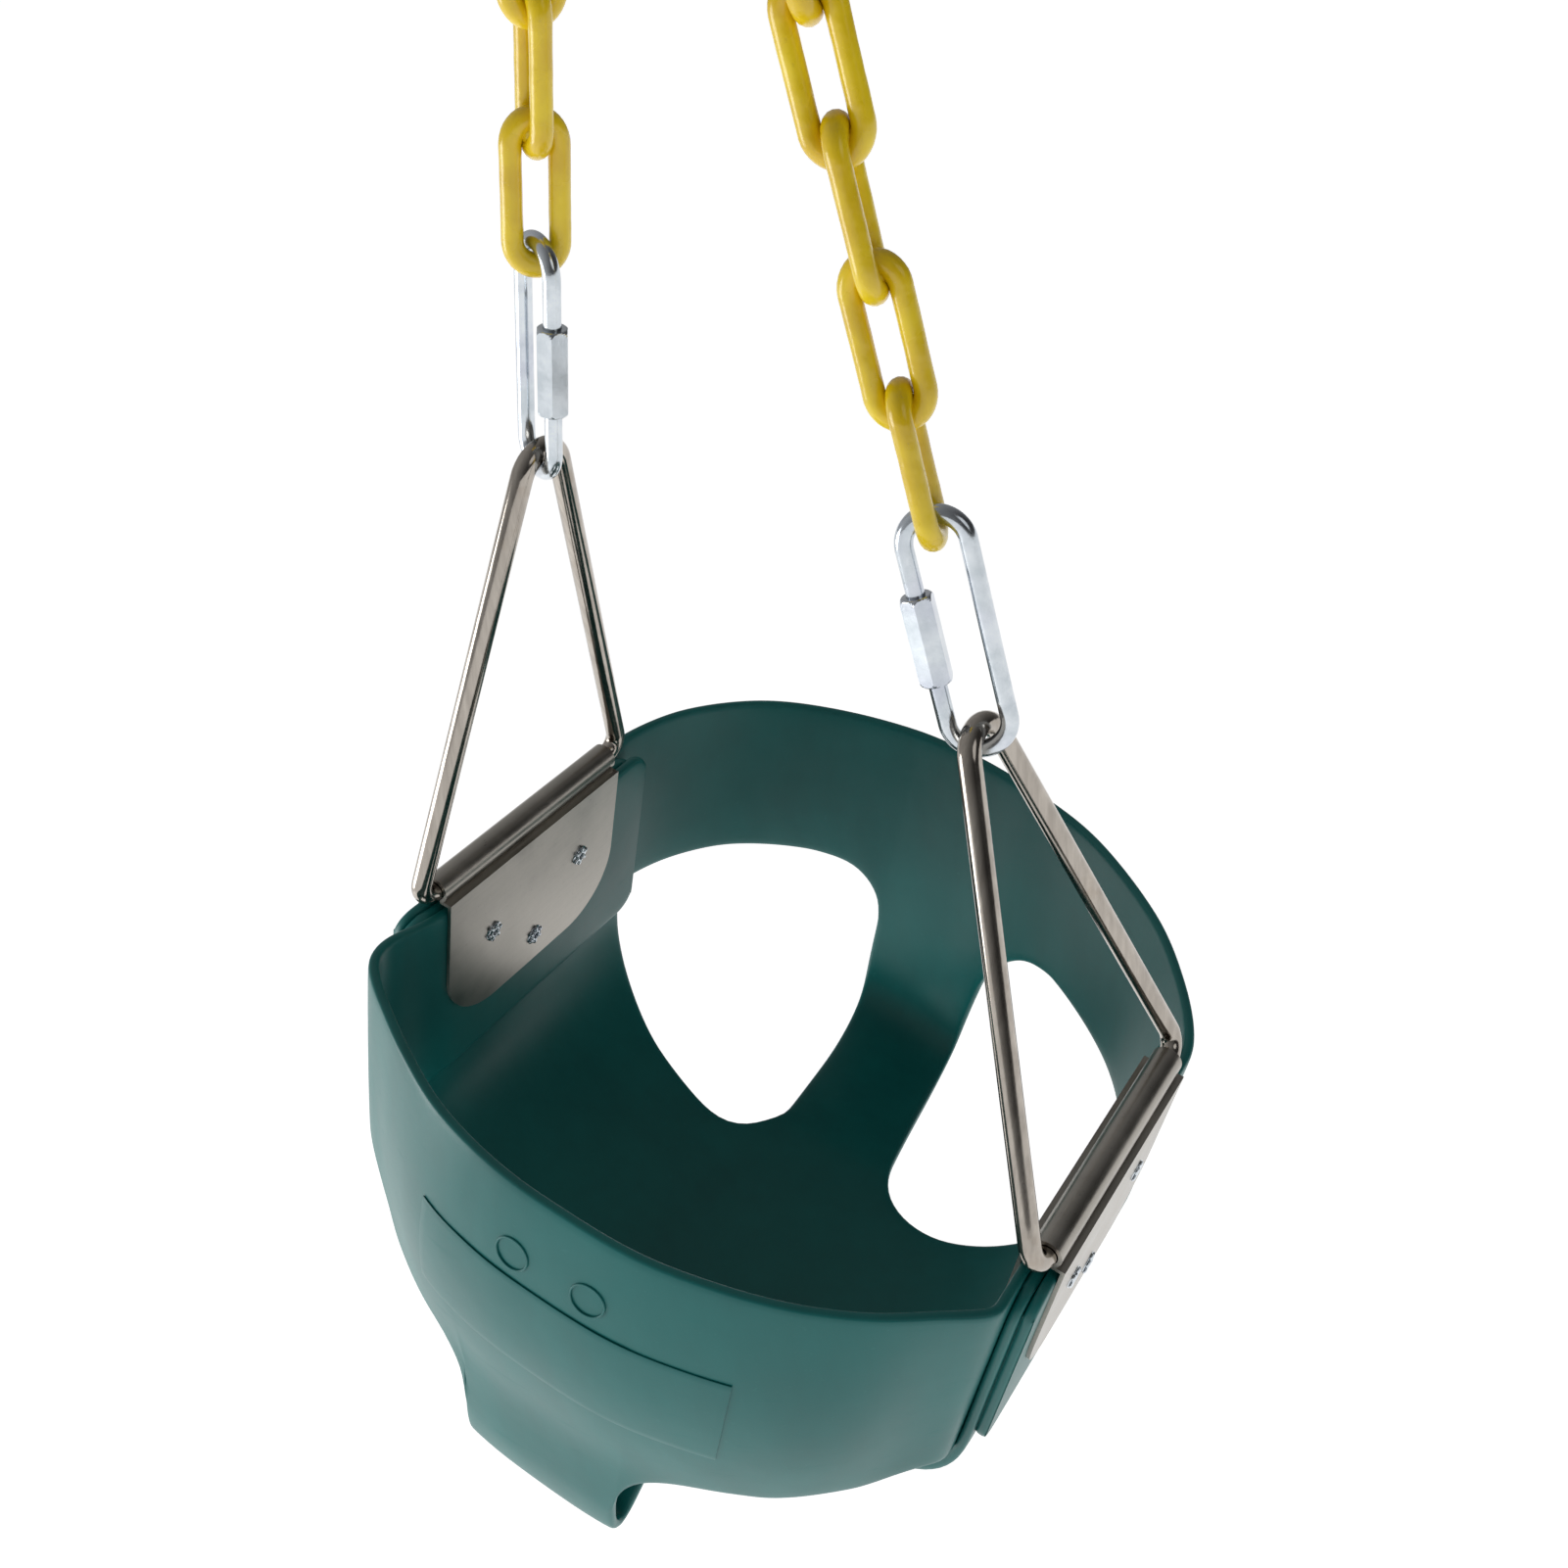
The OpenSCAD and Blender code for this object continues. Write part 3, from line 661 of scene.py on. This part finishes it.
def linkTree():
    graph, given = startTree("coatedLinks", [("Link Length", "Float", 0.045), ("Link Width", "Float", 0.015),
                                             ("Wire Radius", "Float", 0.0035), ("Blob Depth", "Float", 0.0002),
                                             ("Lump Depth", "Float", 0.0001), ("Lump Size", "Float", 160.0),
                                             ("Seed", "Float", 7.0), ("Material", "Material", None)])
    long, wide = given.out("Link Length"), given.out("Link Width")
    box = graph.node("CurvePrimitiveQuadrilateral", {"mode": "RECTANGLE"}, {"Width": wide, "Height": long})
    oval = graph.node("FilletCurve", {"mode": "POLY"}, {"Curve": box, "Count": 14, "Radius": wide * 0.499,
                                                        "Limit Radius": True})
    even = graph.node("ResampleCurve", {"mode": "LENGTH"}, {"Curve": oval, "Length": 0.0013})
    ring = graph.node("CurvePrimitiveCircle", {}, {"Resolution": 18, "Radius": given.out("Wire Radius")})
    tube = graph.node("CurveToMesh", {}, {"Curve": even, "Profile Curve": ring})
    height = graph.node("SeparateXYZ", {}, {0: graph.node("InputPosition")}).out("Y")
    reach = height.maths("ABSOLUTE", height, 0.0) * height.maths("DIVIDE", 2.0, long)
    push = graph.node("VectorMath", {"operation": "SCALE"},
                      {0: graph.node("InputNormal"), "Scale": reach ** 5 * given.out("Blob Depth")})
    blob = graph.node("SetPosition", {}, {"Geometry": tube, "Offset": push})
    stood = graph.node("Transform", {}, {"Geometry": blob, "Rotation": (math.pi / 2, 0, 0)})
    spin = graph.node("InputNamedAttribute", {"data_type": "FLOAT_VECTOR"}, {"Name": "spin"})
    spots = graph.node("InstanceOnPoints", {}, {
        "Points": given, "Instance": stood,
        "Rotation": graph.node("FunctionNodeEulerToRotation", {}, {0: spin})})
    solid = graph.node("RealizeInstances", {}, {"Geometry": spots})
    rough = lumps(graph, solid, given.out("Lump Depth"), given.out("Lump Size"), given.out("Seed"))
    return endTree(graph, rough, given.out("Material"))


def rivetTree():  # a hollow shank rolled outwards and split into petals
    graph, given = startTree("splitRivets", [("Head Radius", "Float", 0.0046), ("Petals", "Int", 6),
                                             ("Seed", "Int", 3), ("Material", "Material", None)])
    wide = given.out("Head Radius")
    flat = graph.node("MeshCylinder", {}, {"Vertices": 32, "Radius": wide * 0.93,
                                           "Depth": 0.0006}).out("Mesh")
    hub = graph.node("CurveToMesh", {}, {
        "Curve": graph.node("CurvePrimitiveCircle", {}, {"Resolution": 28, "Radius": wide * 0.42}),
        "Profile Curve": graph.node("CurvePrimitiveCircle", {}, {"Resolution": 12, "Radius": wide * 0.15})})
    hub = graph.node("Transform", {}, {"Geometry": hub, "Translation": (0, 0, 0.0006)})
    petalRing = graph.node("MeshCircle", {"fill_type": "NONE"},
                           {"Vertices": given.out("Petals"), "Radius": wide * 0.66})
    petal = graph.node("MeshUVSphere", {}, {"Segments": 14, "Rings": 9,
                                            "Radius": wide * 0.30}).out("Mesh")
    petal = graph.node("Transform", {}, {"Geometry": petal, "Scale": (1.12, 0.78, 0.55)})
    away = graph.node("FunctionNodeAlignRotationToVector", {"axis": "X"},
                      {"Vector": graph.node("InputPosition")})
    jitter = graph.node("FunctionNodeRandomValue", {"data_type": "FLOAT"},
                        {2: 0.78, 3: 1.16, "Seed": given.out("Seed")}).out("Value")
    jitter = Flow(graph, jitter.socket.node.outputs[1])
    petals = graph.node("InstanceOnPoints", {}, {"Points": petalRing, "Instance": petal,
                                                 "Rotation": away, "Scale": jitter})
    petals = graph.node("Transform", {}, {"Geometry": petals, "Translation": (0, 0, 0.0006)})
    shank = graph.node("MeshCylinder", {}, {"Vertices": 24, "Radius": wide * 0.48,
                                            "Depth": 0.012}).out("Mesh")
    shank = graph.node("Transform", {}, {"Geometry": shank, "Translation": (0, 0, -0.006)})
    head = graph.node("JoinGeometry")
    for part in (flat, hub, petals, shank):
        graph.tree.links.new(part.socket, head.socket.node.inputs[0])
    spin = graph.node("InputNamedAttribute", {"data_type": "FLOAT_VECTOR"}, {"Name": "spin"})
    spots = graph.node("InstanceOnPoints", {}, {
        "Points": given, "Instance": head,
        "Rotation": graph.node("FunctionNodeEulerToRotation", {}, {0: spin})})
    return endTree(graph, spots, given.out("Material"))


def grow(name, points, edges, spins, tree, values, body, nodes):
    data = bpy.data.meshes.new(name)
    data.from_pydata([Vector(p) * mm for p in points], edges, [])
    if spins:
        made = data.attributes.new("spin", "FLOAT_VECTOR", "POINT")
        for item, spin in zip(made.data, spins):
            item.vector = spin
    piece = bpy.data.objects.new(name, data)
    bpy.context.scene.collection.objects.link(piece)
    grower = piece.modifiers.new("grow", "NODES")
    grower.node_group = tree
    for item in tree.interface.items_tree:
        if item.in_out == "INPUT" and item.name in values:
            grower[item.identifier] = values[item.name]
    bpy.context.view_layer.update()
    ready = piece.evaluated_get(bpy.context.evaluated_depsgraph_get())
    result = bpy.data.meshes.new_from_object(ready)
    piece.modifiers.clear()
    piece.data = result
    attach(piece, body)
    if nodes:
        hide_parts(*nodes)
    print(name, len(result.polygons), "faces")
    return piece


def ring(count):
    return [(i, (i + 1) % count) for i in range(count)]


def webTree():  # the coat that bridges two links where they touch
    graph, given = startTree("coatWebs", [("Radius", "Float", 0.0043), ("Lump Depth", "Float", 0.0003),
                                          ("Lump Size", "Float", 200.0), ("Seed", "Float", 5.0),
                                          ("Material", "Material", None)])
    ball = graph.node("MeshUVSphere", {}, {"Segments": 28, "Rings": 18,
                                           "Radius": given.out("Radius")}).out("Mesh")
    ball = graph.node("Transform", {}, {"Geometry": ball, "Scale": (1.0, 1.0, 1.12)})
    spots = graph.node("InstanceOnPoints", {}, {"Points": given, "Instance": ball})
    solid = graph.node("RealizeInstances", {}, {"Geometry": spots})
    rough = lumps(graph, solid, given.out("Lump Depth"), given.out("Lump Size"), given.out("Seed"))
    return endTree(graph, rough, given.out("Material"))


bentWire, coatedLinks, splitRivets, coatWebs = wireTree(), linkTree(), rivetTree(), webTree()

for number, (x, z) in enumerate(panel["marks"]):
    dots = []
    for k in range(48):
        a = 2 * math.pi * k / 48
        dots.append(seatPlace @ backWall(x + panel["markRadius"] * math.cos(a),
                                         z + panel["markRadius"] * math.sin(a), 0.05))
    grow("mouldMark" + str(number + 1), dots, ring(48), None, bentWire,
         {"Wire Radius": panel["markWire"] * mm, "Sides": 10, "Material": sheetFinish},
         "bucket", ())

hanger = {"cornerSteps": 9, "apexSteps": 14, "straightStep": 9.0}


def hangerLine(side):
    base, small, big = rig["hangerBase"] / 2, rig["cornerRadius"], rig["apexRadius"]
    cornerY = base - small / math.tan(baseAngle / 2)
    dots = []

    def arc(cy, cz, radius, a, b, count):
        for t in spread(a, b, count):
            dots.append((0, cy + radius * math.cos(t), cz + radius * math.sin(t)))

    half = math.pi / 2
    arc(cornerY, small, small, -half, half - baseAngle, hanger["cornerSteps"])
    topZ = apexHeight - big
    arc(0, topZ, big, half - baseAngle, half + baseAngle, hanger["apexSteps"])
    arc(-cornerY, small, small, half + baseAngle, 3 * half, hanger["cornerSteps"])
    full = []
    for a, b in zip(dots, dots[1:] + dots[:1]):
        a, b = Vector(a), Vector(b)
        parts = max(1, int((b - a).length / hanger["straightStep"]))
        full += [a.lerp(b, k / parts) for k in range(parts)]
    place = barrelPlace(side) @ turn(-side * rig["hangerLean"], "Y")
    return [place @ p for p in full]


for side, word in ((-1, "left"), (1, "right")):
    dots = hangerLine(side)
    grow(word + "HangerWire", dots, ring(len(dots)), None, bentWire,
         {"Wire Radius": rig["hangerWire"] / 2 * mm, "Sides": 24, "Material": wireFinish},
         word + "_hanger", (word + "_hanger",))

chain = {"leftTwist": [48, -34, 62], "rightTwist": [-70, 20, -70, 20, -70], "blob": 0.45,
         "lump": 0.16, "webRadius": 4.3}
firstLink = rig["linkLength"] - rig["linkWire"] / 2 - rig["chainWire"] / 2 - rig["hookSlack"]
linkLong = rig["chainInner"] + rig["chainWire"]
spots, spins, names, webs = [], [], [], []
for side, word, twists in ((-1, "left", chain["leftTwist"]), (1, "right", chain["rightTwist"])):
    for k, twist in enumerate(twists):
        place = linePlace(side, firstLink + k * pitch + linkLong / 2, twist)
        spots.append(place.translation)
        spins.append(place.to_euler())
        names.append(word + "_chain_link_" + str(k + 1))
        if k:
            webs.append(linePlace(side, firstLink + k * pitch + rig["chainWire"] / 2, 0).translation)
grow("coatedChain", spots, [], spins, coatedLinks,
     {"Link Length": linkLong * mm, "Link Width": rig["chainWidth"] * mm,
      "Wire Radius": rig["chainWire"] / 2 * mm, "Blob Depth": chain["blob"] * mm,
      "Lump Depth": chain["lump"] * mm, "Material": coatFinish},
     "chains", names)

grow("coatWebs", webs, [], None, coatWebs, {"Radius": chain["webRadius"] * mm, "Material": coatFinish},
     "chains", ())

rivet = {"at": [(-27, -38), (1, -62), (30, -36)], "face": 8.25, "head": 4.8, "petals": 6}
for side, word in ((-1, "left"), (1, "right")):
    spots, spins = [], []
    for y, z in rivet["at"]:
        for face in (-1, 1):
            place = seatPlace @ shift(side * halfSeat + face * rivet["face"], y, z) @ turn(90 * face, "Y") \
                @ turn(37 * y + 20 * face, "Z")
            spots.append(place.translation)
            spins.append(place.to_euler())
    grow(word + "SplitRivets", spots, [], spins, splitRivets,
         {"Head Radius": rivet["head"] * mm, "Petals": rivet["petals"], "Seed": 3 + side,
          "Material": rivetFinish}, "bucket", (word + "_rivets",))

nut = {"flats": 10, "long": 30, "bore": 3.1, "chamfer": 1.6, "around": 60}


def hexNut(name, side, hand, up, twist, body, node):
    nutMesh, count = bmesh.new(), nut["around"]
    place = linePlace(side, up, twist) @ shift(hand * rig["linkWidth"] / 2, 0,
                                               rig["linkLength"] / 2 - nut["long"] / 2)
    rings = []
    steps = [0, 0.12, 0.3, 0.6, 1.0]
    heights = [t * nut["chamfer"] for t in steps]
    heights += [nut["long"] - t * nut["chamfer"] for t in reversed(steps)]
    for z in heights:
        edge = min(z, nut["long"] - z) / nut["chamfer"]
        cone = nut["flats"] / 2 * (0.93 + 0.24 * min(edge, 1.0) ** 0.6)
        line = []
        for k in range(count):
            a = 2 * math.pi * k / count
            hexagon = nut["flats"] / 2 / math.cos((a + math.pi / 6) % (math.pi / 3) - math.pi / 6)
            r = min(hexagon, cone)
            line.append(nutMesh.verts.new((r * math.cos(a), r * math.sin(a), z)))
        rings.append(line)
    for z in (nut["long"], 0):
        rings.append([nutMesh.verts.new((nut["bore"] * math.cos(2 * math.pi * k / count),
                                         nut["bore"] * math.sin(2 * math.pi * k / count), z))
                      for k in range(count)])
    for lower, upper in zip(rings, rings[1:] + rings[:1]):
        for k in range(count):
            n = (k + 1) % count
            nutMesh.faces.new((lower[k], lower[n], upper[n], upper[k]))
    bmesh.ops.recalc_face_normals(nutMesh, faces=nutMesh.faces)
    nutMesh.transform(Matrix.Scale(mm, 4) @ place)
    data = bpy.data.meshes.new(name)
    nutMesh.to_mesh(data)
    nutMesh.free()
    data.materials.append(zincFinish)
    piece = bpy.data.objects.new(name, data)
    bpy.context.scene.collection.objects.link(piece)
    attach(piece, body)
    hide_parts(node)


def topUp(count):
    return (firstLink + (count - 1) * pitch + linkLong - rig["chainWire"] / 2 - rig["linkWire"] / 2
            - rig["hookSlack"])


hexNut("leftNut", -1, 1, 0, -24, "left_nut", "left_sleeve")
hexNut("rightNut", 1, -1, 0, 20, "right_nut", "right_sleeve")
hexNut("leftTopNut", -1, 1, topUp(rig["leftCount"]), chain["leftTwist"][2] - 86,
       "left_top_nut", "left_top_sleeve")
hexNut("rightTopNut", 1, -1, topUp(rig["rightCount"]), chain["rightTwist"][4] + 90,
       "right_top_nut", "right_top_sleeve")

for name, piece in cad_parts.items():
    finish = plateFinish if name.endswith("plate") else zincFinish if name.endswith("quick_link") else None
    if finish:
        for slot in piece.material_slots:
            slot.material = finish

# ---- studio

studio = {"floorZ": -1.3, "floorGlow": 0.80, "skyDim": 0.04, "skyBright": 0.46, "key": 13, "fill": 2}


def writeFloor(graph, place):
    soft = graph.noise(place, 0.6, 2, 0.5)
    tone = graph.ranged(soft, 0.3, 0.7, 0.0, 1.0)
    return {"Base Color": graph.blend(tone, (0.86, 0.86, 0.86, 1), (0.9, 0.9, 0.9, 1)), "Roughness": 0.9}


floorMesh = bpy.data.meshes.new("studioFloor")
far = 30
floorMesh.from_pydata([(x, y, studio["floorZ"]) for x, y in ((-far, -far), (far, -far), (far, far),
                                                             (-far, far))], [], [(0, 1, 2, 3)])
floorPiece = bpy.data.objects.new("studioFloor", floorMesh)
bpy.context.scene.collection.objects.link(floorPiece)
floorMesh.materials.append(material("paleFloor", writeFloor, Emission_Color=(1, 1, 1, 1),
                                    Emission_Strength=studio["floorGlow"]))

world = bpy.data.worlds.new("studio")
bpy.context.scene.world = world
world.use_nodes = True
sky = Graph(world.node_tree)
aim = sky.node("TexCoord").out("Generated")
brightSide = Vector((-0.93, -0.2, 0.12)).normalized()
toward = sky.node("VectorMath", {"operation": "DOT_PRODUCT"}, {0: aim, 1: brightSide}).out("Value")
glow = sky.ranged(toward, -0.7, 0.9, studio["skyDim"], studio["skyBright"])
seen = sky.node("LightPath").out("Is Camera Ray")
level = seen * 0.97 + (1 - seen) * glow
plainSky = sky.node("Background", {}, {"Color": (1, 1, 1, 1), "Strength": level})
sky.node("OutputWorld", {}, {"Surface": plainSky})


def areaLight(name, at, aim, size, power):
    data = bpy.data.lights.new(name, "AREA")
    data.shape, data.size, data.energy = "DISK", size, power
    lamp = bpy.data.objects.new(name, data)
    bpy.context.scene.collection.objects.link(lamp)
    lamp.location = at
    lamp.rotation_euler = (Vector(aim) - Vector(at)).to_track_quat("-Z", "Y").to_euler()
    return lamp


areaLight("keyLight", (-1.6, -1.1, -0.55), (0, 0, -0.5), 1.0, studio["key"])
areaLight("fillLight", (1.6, -0.2, 0.6), (0, 0, -0.45), 1.0, studio["fill"])

view = {"at": (0.30156, -0.41713, -0.04903), "yaw": -35.518, "pitch": -31.588, "roll": -6.479,
        "lens": 39.104}
yaw, lean, roll = deg(view["yaw"]), deg(view["pitch"]), deg(view["roll"])
ahead = Vector((math.sin(yaw) * math.cos(lean), math.cos(yaw) * math.cos(lean), math.sin(lean)))
right = Vector((math.cos(yaw), -math.sin(yaw), 0))
over = right.cross(ahead)
rightTurned = math.cos(roll) * right + math.sin(roll) * over
overTurned = -math.sin(roll) * right + math.cos(roll) * over
cameraData = bpy.data.cameras.new("mainCamera")
cameraData.lens, cameraData.sensor_width, cameraData.clip_end = view["lens"], 36, 100
camera = bpy.data.objects.new("mainCamera", cameraData)
bpy.context.scene.collection.objects.link(camera)
facing = Matrix((rightTurned, overTurned, -ahead)).transposed().to_4x4()
camera.matrix_world = Matrix.Translation(view["at"]) @ facing
bpy.context.scene.camera = camera
bpy.context.scene.view_settings.view_transform = "Standard"
